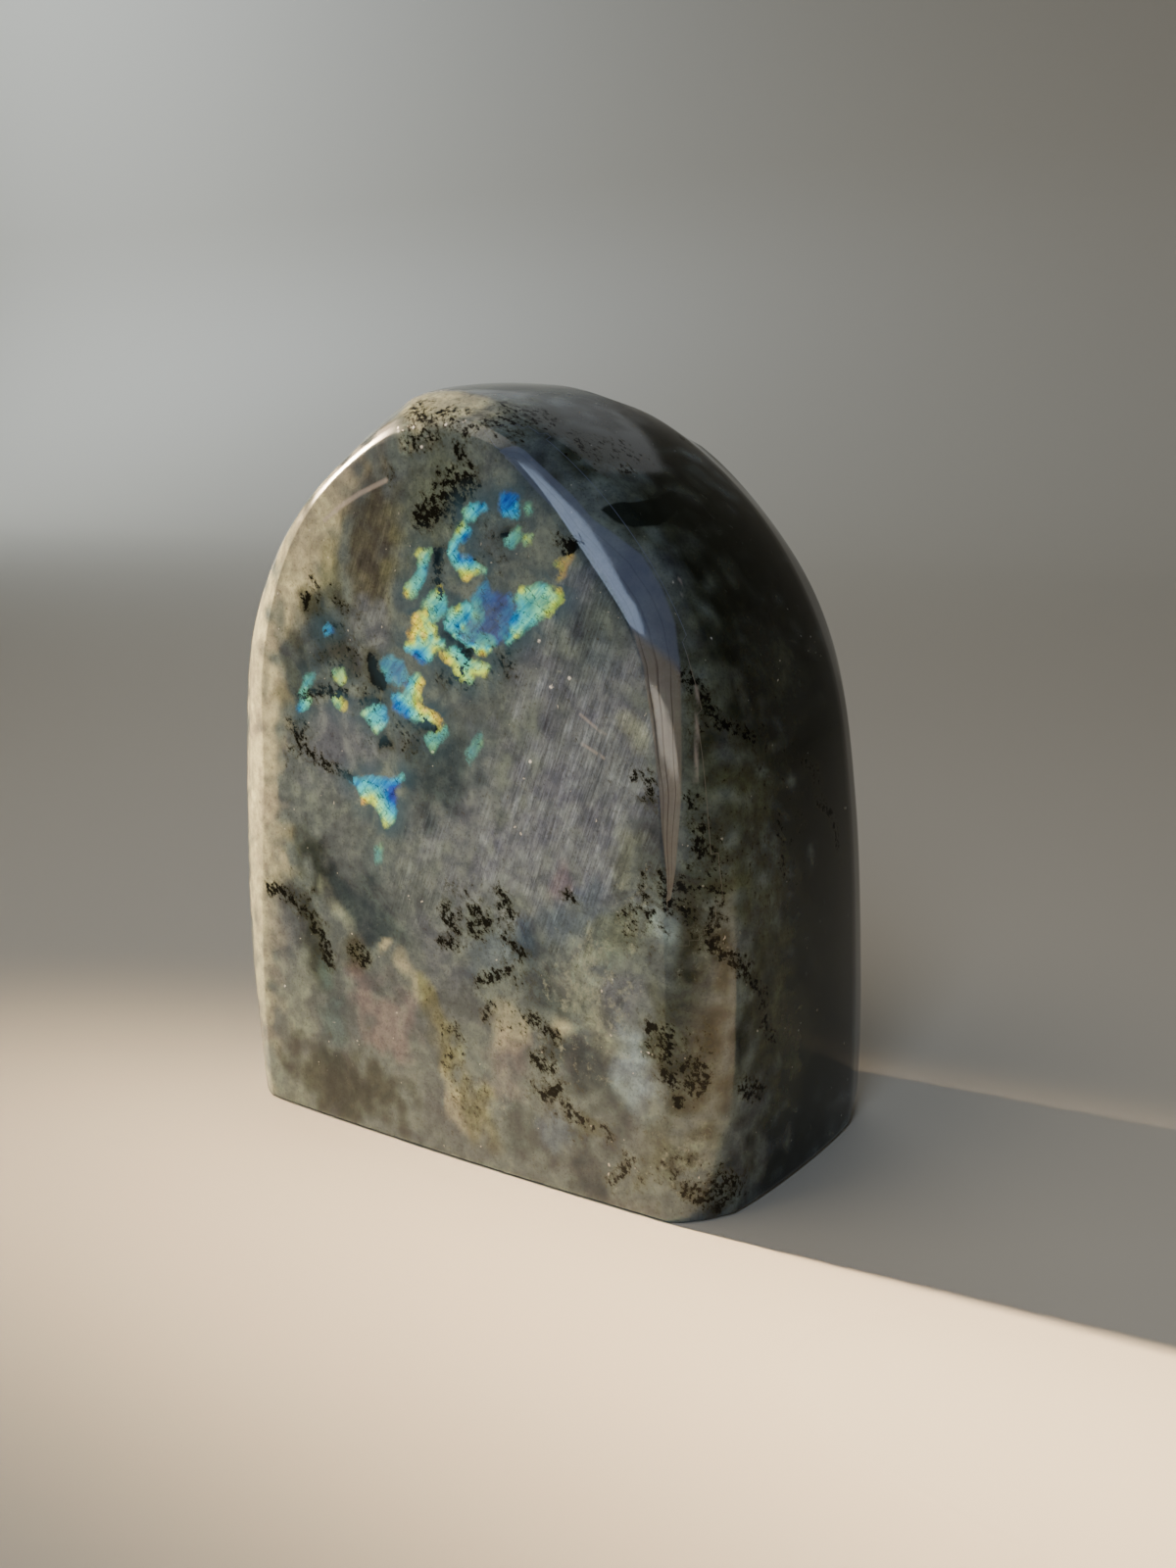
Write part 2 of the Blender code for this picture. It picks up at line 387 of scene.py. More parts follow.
# %% The lower flashes, and the guessed ones on the back
LOWER_FLASHES = {
    "teal wedge": (0.8, [
        (442, 606, GREEN), (449, 600, GOLD), (454, 611, CYAN), (455, 621, AZURE), (448, 630, CYAN),
        (440, 633, CYAN), (438, 624, CYAN), (431, 617, GREEN),
    ]),
    "gold corner": (1.0, [
        (421, 629, GOLD), (435, 625, GOLD), (439, 636, LIME), (444, 641, LIME), (444, 647, LIME),
        (432, 648, GOLD), (420, 651, GOLD), (417, 648, ORANGE), (423, 639, GOLD),
    ]),
    "cyan shelf": (1.0, [
        (415, 657, LIME), (427, 652, CYAN), (440, 649, CYAN), (452, 655, CYAN), (453, 659, GREEN),
        (443, 663, LIME), (440, 672, CYAN), (431, 676, BLUE), (424, 669, BLUE), (415, 663, AZURE),
    ]),
    "under the crack": (1.0, [
        (450, 668, GOLD), (464, 661, CYAN), (472, 665, CYAN), (475, 673, CYAN), (489, 677, GREEN),
        (498, 680, GREEN), (494, 688, LIME), (483, 687, LIME), (480, 695, GREEN), (467, 691, LIME),
        (463, 680, LIME), (454, 673, GOLD),
    ]),
    "dim ring": (0.45, [
        (389, 676, AZURE), (399, 669, AZURE), (411, 676, AZURE), (416, 688, AZURE), (414, 698, BLUE),
        (403, 698, AZURE), (394, 693, AZURE), (390, 684, CYAN),
    ]),
    "stair top": (0.95, [
        (418, 693, CYAN), (426, 689, GREEN), (432, 696, GOLD), (428, 703, GOLD), (429, 713, LIME),
        (422, 711, LIME), (415, 706, CYAN),
    ]),
    "stair": (1.0, [
        (401, 709, AZURE), (418, 710, CYAN), (426, 716, GOLD), (433, 723, GOLD), (444, 729, GOLD),
        (450, 737, ORANGE), (436, 735, GREEN), (423, 733, CYAN), (414, 730, BLUE), (403, 723, BLUE),
    ]),
    "left claw": (0.9, [
        (370, 728, GREEN), (385, 719, CYAN), (393, 723, AZURE), (395, 734, AZURE), (389, 743, CYAN),
        (383, 746, GREEN), (378, 736, CYAN),
    ]),
    "pale speck": (0.6, [
        (340, 686, GREEN), (350, 684, GREEN), (353, 694, LIME), (347, 697, GREEN), (342, 693, LIME),
    ]),
    "lime speck": (0.8, [
        (340, 713, GREEN), (346, 710, LIME), (353, 718, GOLD), (352, 724, GOLD), (345, 721, GREEN),
    ]),
    "edge speck": (0.85, [
        (305, 721, AZURE), (313, 712, GREEN), (317, 714, GREEN), (310, 723, CYAN), (304, 724, AZURE),
    ]),
    "edge streak": (0.5, [
        (312, 691, CYAN), (321, 688, CYAN), (318, 696, CYAN), (308, 709, CYAN), (306, 708, CYAN),
    ]),
    "lone blue": (0.7, [(330, 643, AZURE), (336, 638, AZURE), (340, 643, BLUE), (332, 647, AZURE)]),
    "triangle": (1.0, [
        (358, 796, AZURE), (381, 794, AZURE), (401, 796, AZURE), (411, 792, CYAN), (403, 806, VIOLET),
        (404, 814, VIOLET), (403, 829, AZURE), (401, 838, GREEN), (393, 843, LIME), (388, 828, GREEN),
        (380, 817, LIME), (370, 818, ORANGE), (368, 809, CYAN), (364, 801, AZURE),
    ]),
    "striped tail": (0.5, [(434, 753, CYAN), (454, 742, CYAN), (456, 748, CYAN), (441, 766, GREEN)]),
    "faint tail": (0.3, [(476, 768, CYAN), (490, 749, CYAN), (492, 757, GREEN), (479, 778, CYAN)]),
    "drip": (0.3, [(383, 866, CYAN), (389, 862, GREEN), (389, 878, CYAN), (384, 880, CYAN)]),
}
BACK_FLASHES = {
    "back high": (0.65, [
        (5, 30, 69, BLUE), (9, 30, 72, AZURE), (14, 30, 73, CYAN), (20, 30, 77, GREEN), (25, 30, 76, LIME),
        (21, 30, 73, CYAN), (19, 30, 70, AZURE), (13, 30, 69, BLUE), (10, 30, 66, CYAN),
    ]),
    "back middle": (0.55, [
        (-8, 30, 60, CYAN), (-3, 30, 63, BLUE), (3, 30, 67, BLUE), (8, 30, 66, AZURE), (6, 30, 63, CYAN),
        (2, 30, 62, AZURE), (1, 30, 58, GREEN), (-3, 30, 57, CYAN),
    ]),
    "back low": (0.5, [
        (-19, 30, 52, CYAN), (-13, 30, 54, AZURE), (-7, 30, 55, AZURE), (-9, 30, 52, GREEN),
        (-15, 30, 50, LIME),
    ]),
    "back speck": (0.6, [(11, 30, 62, AZURE), (15, 30, 64, CYAN), (17, 30, 63, GREEN), (14, 30, 60, CYAN)]),
}
print("Lower flashes:", len(LOWER_FLASHES), "and on the back:", len(BACK_FLASHES))

# %% Paint the flashes
HUE_MARGIN = 1.5  # a corner's hue reaches this far past the outline, in millimetres
HUE_CORE = 0.25  # and hardly changes this close to the corner
flash_depth = np.full(len(skin), OUTSIDE)
flash_strength = np.zeros(len(skin))
hue_sum = np.zeros(len(skin))
hue_weight = np.full(len(skin), TINY)
for strength, corners in (UPPER_FLASHES | LOWER_FLASHES | BACK_FLASHES).values():
    depth = depth_in_patch([corner[:-1] for corner in corners])
    nearer = depth > flash_depth
    flash_strength[nearer] = strength
    flash_depth = np.maximum(flash_depth, depth)
    for *spot, hue in corners:
        far = np.linalg.norm(skin - on_stone(spot)[0], axis=1)
        weight = (depth > -HUE_MARGIN) / (far + HUE_CORE) ** 3
        hue_sum += weight * hue
        hue_weight += weight
keep_on_mesh("flash_depth", flash_depth)
keep_on_mesh("flash_strength", flash_strength)
keep_on_mesh("flash_hue", hue_sum / hue_weight)

# %% [markdown]
# Dark grains and cracks
#
# Black grains of ore and old cracks lie in the stone, some as blots, most as broken chains. Blots are
# patches, and chains are lines whose width the material's noise breaks into grains. A few scratches
# are pale lines, two more pale lines are painted glints along ridges, and the brightest specks are
# painted highlights: small round glints.

# %% The pits and the blots
PITS = {
    "open crack": (0.25, [
        (453, 648), (459, 647), (472, 657), (483, 663), (486, 668), (480, 672), (475, 668), (463, 656),
    ]),
    "slit": (0.15, [(512, 549), (518, 541), (523, 540), (516, 550)]),
    "brown pit": (0.15, [(445, 562), (452, 563), (451, 570), (447, 578), (444, 572)]),
}
DARK_BLOTS = {
    "slanting blot": [(375, 665), (383, 668), (385, 680), (396, 696), (393, 704), (381, 698), (374, 683)],
    "blot under the stair": [(418, 737), (443, 736), (444, 745), (434, 748), (421, 741)],
    "small blot": [(388, 756), (394, 749), (398, 759), (389, 761)],
    "claw's shadow": [(373, 713), (393, 713), (393, 717), (375, 719)],
    "left blot": [(309, 604), (315, 605), (317, 618), (322, 621), (311, 622)],
    "low blot": [(592, 1144), (597, 1143), (608, 1150), (607, 1154), (599, 1152)],
    "square grain": [(687, 1117), (696, 1118), (695, 1131), (687, 1130)],
    "rim blot": [(688, 902), (695, 900), (703, 904), (701, 911), (693, 910)],
    "second rim blot": [(723, 907), (731, 900), (733, 904), (727, 913), (723, 914)],
}
LENS = [  # the black lens under the crown's ridge
    (612, 519), (625, 514), (645, 513), (669, 509), (688, 499), (693, 509), (688, 526), (672, 536),
    (649, 539), (629, 533),
]
PIT_RIM = 0.4  # a pit begins to sink this far outside its outline, in millimetres
dark_depth = np.full(len(skin), OUTSIDE)
sunk = np.zeros(len(skin))
for pit_depth, corners in PITS.values():
    depth = depth_in_patch(corners)
    dark_depth = np.maximum(dark_depth, depth)
    sunk = np.maximum(sunk, pit_depth * np.clip(PIT_RIM + depth, 0.0, 1.0))
for corners in DARK_BLOTS.values():
    dark_depth = np.maximum(dark_depth, depth_in_patch(corners))
keep_on_mesh("dark_depth", dark_depth)
keep_on_mesh("lens_depth", depth_in_patch(LENS))

# %% The chains of grains
DARK_CHAINS = {
    "crown slit": (1.0, [(466, 455), (472, 467), (480, 479)]),
    "upper grains": (3.0, [(478, 493), (462, 507), (447, 517), (432, 528)]),
    "rust grains": (1.4, [(449, 565), (446, 582), (449, 604)]),
    "left vein": (1.5, [(273, 905), (289, 909), (305, 925), (316, 936), (329, 956), (336, 983)]),
    "blob on the left vein": (2.6, [(364, 972), (371, 976)]),
    "arc by the ring": (1.1, [(307, 712), (330, 703), (352, 708)]),
    "arc left of the triangle": (0.9, [(296, 740), (315, 769), (334, 780), (357, 794)]),
    "grain knot": (1.8, [(455, 930), (461, 941), (463, 949)]),
    "flat grain": (1.1, [(450, 961), (466, 963)]),
    "second knot": (1.8, [(484, 930), (496, 941), (484, 949)]),
    "third knot": (1.0, [(509, 911), (522, 930)]),
    "slit row": (1.0, [(514, 952), (521, 963), (534, 975)]),
    "speck row": (1.2, [(518, 990), (500, 998), (489, 1001)]),
    "lone slit": (1.0, [(500, 1027), (494, 1036)]),
    "lower row": (1.4, [(541, 1040), (549, 1044), (560, 1053), (567, 1059)]),
    "low grains": (1.1, [(545, 1075), (551, 1089), (563, 1090)]),
    "olive grains": (1.6, [(558, 1121), (570, 1109)]),
    "foot grains": (1.3, [(580, 1133), (592, 1142)]),
    "leaning slit": (0.7, [(619, 1151), (627, 1166)]),
    "grain by the blue patch": (1.0, [(579, 913), (585, 917)]),
    "chain on the rim": (1.4, [(698, 688), (712, 702), (717, 714), (727, 731), (739, 740)]),
    "chain over the side": (1.2, [(739, 740), (759, 748), (769, 754)]),
    "rim slit": (1.0, [(712, 841), (713, 856), (713, 872)]),
    "rim dots": (1.2, [(703, 815), (708, 818)]),
    "side slit": (0.9, [(795, 835), (798, 875), (804, 904)]),
    "side grains": (1.2, [(750, 982), (779, 1014), (779, 1041), (790, 1062)]),
    "side dots": (1.1, [(820, 778), (832, 784), (834, 816), (849, 832), (854, 864)]),
    "side cluster": (2.2, [(760, 1108), (775, 1114)]),
    "back chain": (1.6, [(-30, 30, 62), (-22, 30, 57), (-12, 30, 60), (-6, 30, 52)]),
    "back vein": (1.5, [(34, 28, 44), (24, 30, 40), (18, 30, 30), (6, 30, 26)]),
    "back low chain": (1.4, [(-28, 30, 14), (-16, 30, 20), (-6, 30, 17)]),
    "back knot": (2.2, [(12, 30, 64), (18, 30, 62)]),
    "back crown chain": (1.6, [(-14, 26, 86), (-4, 26, 82), (4, 26, 86)]),
    "left side chain": (1.2, [(-45, 8, 78), (-46, 4, 70), (-46, 7, 66)]),
    "left side grains": (1.4, [(-46, 10, 30), (-46, 3, 24)]),
    "rim knot": (1.6, [(677, 896), (681, 922), (691, 923), (702, 932)]),
    "low rim knot": (1.4, [(730, 930), (725, 964), (743, 974), (764, 986)]),
    "fine corner grains": (1.6, [(664, 1050), (679, 1053), (682, 1070), (677, 1084), (686, 1104)]),
    "corner cluster": (2.6, [(705, 1092), (714, 1098), (711, 1108)]),
    "bottom grains": (1.8, [(703, 1216), (716, 1224), (733, 1220), (747, 1205)]),
    "foot specks": (0.9, [(622, 1206), (633, 1199), (643, 1180)]),
    "top spot": (1.6, [(697, 448), (702, 451)]),
    "spot over the lens": (1.2, [(634, 479), (641, 477)]),
}


def depth_in_lines(lines):
    """How deep each point of the skin lies inside the nearest of these lines."""
    deepest = np.full(len(skin), OUTSIDE)
    for width, spots in lines.values():
        deepest = np.maximum(deepest, depth_in_line([on_stone(spot)[0] for spot in spots], width))
    return deepest


keep_on_mesh("grain_depth", depth_in_lines(DARK_CHAINS))

# %% Scratches, and painted glints
# the pale lines are scratches, except the first and the fourth, which are painted highlights along ridges
PALE_LINES = {
    "pink glint on a ridge": (0.8, [(331, 531), (348, 516), (368, 503), (394, 490)]),
    "face scratch": (0.5, [(592, 729), (605, 740), (619, 751)]),
    "second face scratch": (0.5, [(594, 759), (617, 774)]),
    "glint streak by the ridge": (0.7, [(693, 590), (697, 608)]),
    "rim line": (0.7, [(711, 699), (711, 750), (710, 799)]),
}
# painted highlights: white specks where light glints off small pits and the crown's grains
PAINTED_GLINTS = [
    (637, 496), (720, 602), (726, 652), (550, 654), (619, 634), (541, 777), (581, 692), (562, 701),
    (625, 998), (633, 1018), (661, 1074), (640, 1197), (341, 1044), (291, 1006), (406, 440), (422, 436),
    (437, 446), (455, 433), (473, 452), (430, 456), (579, 456),
]
PAINTED_GLINT_WIDTH = 0.8
painted_glint_depth = np.full(len(skin), OUTSIDE)
for pixel in PAINTED_GLINTS:
    near = np.linalg.norm(skin - on_stone(pixel)[0], axis=1)
    painted_glint_depth = np.maximum(painted_glint_depth, PAINTED_GLINT_WIDTH / 2 - near)
keep_on_mesh("pale_depth", depth_in_lines(PALE_LINES))
keep_on_mesh("painted_glint_depth", painted_glint_depth)

# %% [markdown]
# Clouds in the body
#
# Between the flashes the stone is grey, with soft clouds of olive, brown, cream, teal and violet.
# Each cloud is an oval dab of colour that fades to nothing at its rim, laid one over the other as
# thin paint would be. Some dabs are painted light and shade: the near-black green on the right side,
# its shoulder, the top right and the back of the rim is painted shade, the rim's darker green is
# partly painted shade, the slate dab under the right ridge is a painted shadow, and the cream along
# the left rim and the left crown is painted warm light. Dabs on the hidden sides are guesses, placed
# by measure and not by pixel.

# %% The palette
GREY = (0.095, 0.122, 0.138)
MAUVE = (0.107, 0.130, 0.172)
SILVER = (0.118, 0.144, 0.184)
SLATE = (0.029, 0.045, 0.060)
DEEP_BLUE = (0.018, 0.038, 0.084)
BLUE_GREY = (0.078, 0.114, 0.172)
OLIVE = (0.150, 0.162, 0.098)
BROWN = (0.062, 0.060, 0.044)
CREAM = (0.490, 0.475, 0.340)
PINK = (0.180, 0.138, 0.164)
TEAL = (0.062, 0.112, 0.134)
MOSS = (0.088, 0.108, 0.074)
SMOKE = (0.016, 0.022, 0.019)
ICE = (0.210, 0.290, 0.370)
PALE_GREEN = (0.200, 0.240, 0.215)
# painted shade: a near-black green for the shaded right side
PAINTED_SHADE_GREEN = (0.006, 0.009, 0.006)
# the rim's own dark green, deepened as painted shade where the rim turns from the light
RIM_GREEN_AND_SHADE = (0.050, 0.060, 0.048)
print("The stone's own grey:", GREY)

# %% Clouds on the upper face
# Each cloud is a spot, a length, a width, a lean in degrees, a colour and a strength
UPPER_CLOUDS = {
    # painted warm light: cream laid along the sunlit left rim
    "left rim": ((262, 800), 60, 8, 0, CREAM, 0.75),
    "left foot": ((300, 1060), 30, 12, 0, PALE_GREEN, 0.35),
    # painted warm light: cream on the left crown beside the sunlit edge
    "left crown": ((318, 540), 18, 7, 35, CREAM, 0.6),
    "cream by the column": ((300, 600), 9, 5, 8, CREAM, 0.45),
    "olive column": ((335, 585), 8, 5, 8, OLIVE, 0.6),
    "brown column": ((378, 570), 18, 6.5, 6, BROWN, 0.85),
    "brown edge": ((402, 560), 12, 2.4, 4, OLIVE, 0.3),
    "green grey field": ((440, 520), 12, 8, 20, MOSS, 0.45),
    "mauve middle": ((375, 640), 5, 5, 0, MAUVE, 0.8),
    "mauve by the silk": ((475, 840), 15, 9, 20, MAUVE, 0.75),
    "mauve under the claws": ((345, 750), 9, 11, 0, MAUVE, 0.9),
    "silky field": ((600, 790), 32, 16, 18, MAUVE, 0.9),
    "silver streaks": ((540, 870), 13, 8, 20, SILVER, 0.8),
    "silver shoulder": ((545, 680), 10, 6, 20, SILVER, 0.55),
    "shadow under the ridge": ((610, 640), 9, 6, 25, SLATE, 0.6),
    "pale stripe": ((575, 610), 8, 3, 55, SILVER, 0.6),
    "dark field by the triangle": ((445, 785), 9, 8, 40, SLATE, 0.9),
    "dark field by the left flashes": ((330, 640), 7, 8, 0, SLATE, 0.85),
    "dark field by the edge": ((300, 700), 8, 6, 0, SMOKE, 0.55),
    "brown patch": ((346, 662), 3.5, 3.5, 0, BROWN, 0.8),
}
print("Clouds on the upper face:", len(UPPER_CLOUDS))

# %% Clouds on the lower face
LOWER_CLOUDS = {
    "dark band": ((320, 880), 11, 5, -50, SMOKE, 0.9),
    "dark band low": ((378, 925), 10, 6, -55, SLATE, 0.9),
    "left vein haze": ((315, 955), 12, 4.5, -35, SMOKE, 0.85),
    "brown blob": ((368, 974), 3.5, 3.5, 0, BROWN, 0.8),
    "pale over the vein": ((345, 925), 6, 2.2, -55, PALE_GREEN, 0.6),
    "mauve left": ((290, 960), 10, 5, 0, MAUVE, 0.4),
    "teal glow": ((338, 1040), 9, 5, 0, TEAL, 0.8),
    "red glow": ((394, 1041), 9, 7, -30, PINK, 0.5),
    "dark foot": ((352, 1105), 8, 17, 8, SMOKE, 0.8),
    "yellow vein top": ((418, 996), 5, 1.8, -38, CREAM, 0.4),
    "yellow vein": ((435, 1016), 4, 1.6, -34, OLIVE, 0.9),
    "olive vein": ((455, 1068), 9, 3, -30, OLIVE, 0.8),
    "olive vein foot": ((490, 1130), 9, 4, -32, OLIVE, 0.7),
    "cream dots by the vein": ((470, 1125), 5, 2.2, -30, CREAM, 0.45),
    "pale bead": ((396, 968), 1.4, 1.4, 0, CREAM, 0.7),
    "mauve low middle": ((450, 960), 8, 5, 20, MAUVE, 0.6),
    "pink cream": ((513, 1038), 4.5, 4, 0, CREAM, 0.4),
    "pink under the cream": ((520, 1080), 7, 4.5, 0, PINK, 0.3),
    "dark blue": ((545, 963), 5, 6, -10, DEEP_BLUE, 0.8),
    "blue left of it": ((495, 975), 5, 5, 0, BLUE_GREY, 0.6),
    "blue grey middle": ((600, 950), 8, 9, 0, BLUE_GREY, 0.75),
    "pale speckles": ((590, 990), 6, 6, 0, PALE_GREEN, 0.7),
    "pale lump": ((577, 1043), 2.6, 2.2, 0, CREAM, 0.6),
    "second pale lump": ((612, 1040), 3.6, 2.6, 0, PALE_GREEN, 0.9),
    "third pale lump": ((617, 1069), 2.6, 2.6, 0, PALE_GREEN, 0.9),
    "violet grey low": ((645, 1030), 7, 4.5, 0, MAUVE, 0.9),
    "slate under it": ((603, 1098), 10, 6, -35, SLATE, 1.0),
    "slate left": ((570, 1022), 4.5, 3.5, -30, SLATE, 0.7),
    "slate foot": ((545, 1160), 5, 7, 0, SLATE, 0.8),
    "slate blue foot": ((563, 1155), 3.5, 4, 0, BLUE_GREY, 0.7),
    "slate blue foot corner": ((603, 1195), 5, 6, 0, SLATE, 0.9),
    "dark under the moss": ((560, 985), 7, 9, -60, SLATE, 0.5),
    "smoke by the ridge": ((668, 870), 9, 3, 0, SMOKE, 0.5),
    "ice glow": ((650, 1090), 6, 4.5, 0, ICE, 0.9),
    "ice dots": ((669, 948), 3, 2, 0, ICE, 0.6),
    "moss patch": ((633, 955), 5.5, 5, 0, MOSS, 0.6),
    "moss column": ((640, 880), 9, 3, 12, MOSS, 0.5),
    "pale by the ridge": ((650, 740), 3.5, 2.5, 0, PALE_GREEN, 0.7),
    "red spot": ((568, 905), 3, 2, 0, PINK, 0.4),
    # these two dabs use the rim's green, partly painted shade where the corner turns from the light
    "brown granules": ((668, 1175), 7, 6, 0, RIM_GREEN_AND_SHADE, 0.8),
    "pale corner": ((711, 1170), 5, 5, 0, PALE_GREEN, 0.5),
    "corner grey": ((705, 1050), 18, 6, 0, RIM_GREEN_AND_SHADE, 0.8),
}
print("Clouds on the lower face:", len(LOWER_CLOUDS))

# %% Clouds on the rim and the crown, and guessed ones on the hidden sides
RIM_CLOUDS = {
    "rim grey": ((715, 790), 34, 5, 0, MOSS, 0.5),
    "rim brown": ((712, 950), 6, 3.5, 0, BROWN, 0.7),
    # partly painted shade: the rim's green deepens where the rim turns from the light toward the shaded side
    "rim base": ((775, 640), 52, 17, -12, RIM_GREEN_AND_SHADE, 1.0),
    "shoulder green": ((722, 520), 26, 15, -35, RIM_GREEN_AND_SHADE, 0.9),
    "rim green": ((745, 700), 26, 10, -10, RIM_GREEN_AND_SHADE, 0.7),
    # painted shade: the right side, its shoulder and the top right are darkened to near black where shade
    # falls
    "right side": ((850, 820), 60, 30, 0, PAINTED_SHADE_GREEN, 1.0),
    "low right side": ((830, 1060), 40, 26, 0, PAINTED_SHADE_GREEN, 1.0),
    "right shoulder": ((780, 560), 26, 24, -35, PAINTED_SHADE_GREEN, 1.0),
    "top right": ((650, 440), 14, 22, 0, PAINTED_SHADE_GREEN, 0.9),
    "green on the side": ((762, 850), 15, 6, 15, MOSS, 0.5),
    "green high on the side": ((800, 690), 10, 8, -10, RIM_GREEN_AND_SHADE, 0.7),
    "green low on the side": ((785, 960), 14, 9, 10, MOSS, 0.4),
    "green by the foot": ((800, 1080), 12, 9, 0, MOSS, 0.4),
}
HIDDEN_CLOUDS = {
    # the near-black green on the back of the rim and on the top carries the right side's painted shade round
    "back of the rim": ((45, 14, 45), 45, 14, 0, PAINTED_SHADE_GREEN, 0.8),
    "back silk": ((8, 30, 50), 26, 16, -18, MAUVE, 0.9),
    "back cream edge": ((-38, 22, 50), 40, 7, 0, CREAM, 0.6),
    "back moss": ((25, 30, 28), 16, 9, 25, MOSS, 0.85),
    "back slate": ((-15, 30, 70), 12, 10, -30, SLATE, 0.8),
    "back blue grey": ((15, 30, 78), 9, 8, 0, BLUE_GREY, 0.7),
    "back olive vein": ((-8, 30, 36), 14, 3, 35, OLIVE, 0.8),
    "back olive vein foot": ((2, 30, 13), 12, 3.5, 30, OLIVE, 0.7),
    "back smoke": ((-25, 30, 24), 9, 8, 0, SMOKE, 0.6),
    "back brown": ((-23, 30, 46), 7, 5, 0, BROWN, 0.7),
    "back teal": ((29, 30, 58), 9, 6, 0, TEAL, 0.7),
    "back pale patch": ((6, 30, 24), 5, 6, 0, PALE_GREEN, 0.6),
    "back pink": ((-13, 30, 12), 6, 7, 0, PINK, 0.6),
    "back silver": ((0, 30, 88), 7, 10, 0, SILVER, 0.6),
    "left side": ((-46, 8, 45), 70, 17, 0, SLATE, 0.75),
    "left side grey": ((-46, 12, 80), 18, 14, 0, SLATE, 0.5),
    "left side moss": ((-45, 6, 40), 18, 8, 10, MOSS, 0.7),
    "left side slate": ((-45, 10, 70), 14, 9, -15, SLATE, 0.8),
    "left side brown": ((-45, 14, 20), 12, 7, 20, BROWN, 0.7),
    "left side violet": ((-45, 2, 58), 8, 6, 0, MAUVE, 0.7),
    "left side cream": ((-45, -9, 55), 34, 7, 0, CREAM, 0.5),
    "left side olive": ((-45, 0, 14), 10, 8, 0, OLIVE, 0.5),
    "top moss": ((-12, 9, 97), 8, 8, 0, MOSS, 0.7),
    "top dark": ((13, 12, 95), 9, 11, 0, PAINTED_SHADE_GREEN, 0.85),
    "foot grey": ((5, 0, -3), 16, 28, 20, MAUVE, 0.8),
    "foot smoke": ((-20, 6, -3), 9, 10, 0, SMOKE, 0.6),
}
CROWN_CLOUDS = {
    "grey by the lens": ((625, 494), 4, 7, -20, GREY, 0.5),
    "violet by the band": ((675, 590), 10, 4, -35, MAUVE, 0.35),
    "crown cream": ((450, 418), 5, 12, 10, CREAM, 0.55),
    "crown moss": ((540, 420), 6, 7, 0, MOSS, 0.8),
    "crown dark": ((548, 425), 5, 9, -20, SMOKE, 0.95),
    "crown smoke": ((600, 450), 5, 9, -30, SMOKE, 0.8),
    "crown grey": ((500, 455), 5, 9, 0, GREY, 0.8),
}
print("Clouds on the rim:", len(RIM_CLOUDS), "and on the crown:", len(CROWN_CLOUDS))
print("Clouds on the hidden sides:", len(HIDDEN_CLOUDS))

# %% Paint the clouds
cloud_colour = np.tile(GREY, (len(skin), 1))
every_cloud = UPPER_CLOUDS | LOWER_CLOUDS | RIM_CLOUDS | HIDDEN_CLOUDS | CROWN_CLOUDS
for spot, length, width, lean, tint, strength in every_cloud.values():
    share = strength * soft_spot(spot, length, width, lean)[:, None]
    cloud_colour += (np.array(tint) - cloud_colour) * share
painted = stone.data.attributes.new("cloud_colour", "FLOAT_COLOR", "POINT")
painted.data.foreach_set("color", np.c_[cloud_colour, np.ones(len(skin))].astype(np.float32).ravel())
print("Clouds painted:", len(every_cloud), "with the mean colour", cloud_colour.mean(axis=0).round(3))

# %% [markdown]
# Where the fine textures lie
#
# Fine textures come from noise in the material, and each has its own field on the stone: black crumbs
# of ore, pale specks of feldspar, and the silky streaks of the cleavage. A fourth field, satin, says
# where the polish is duller.

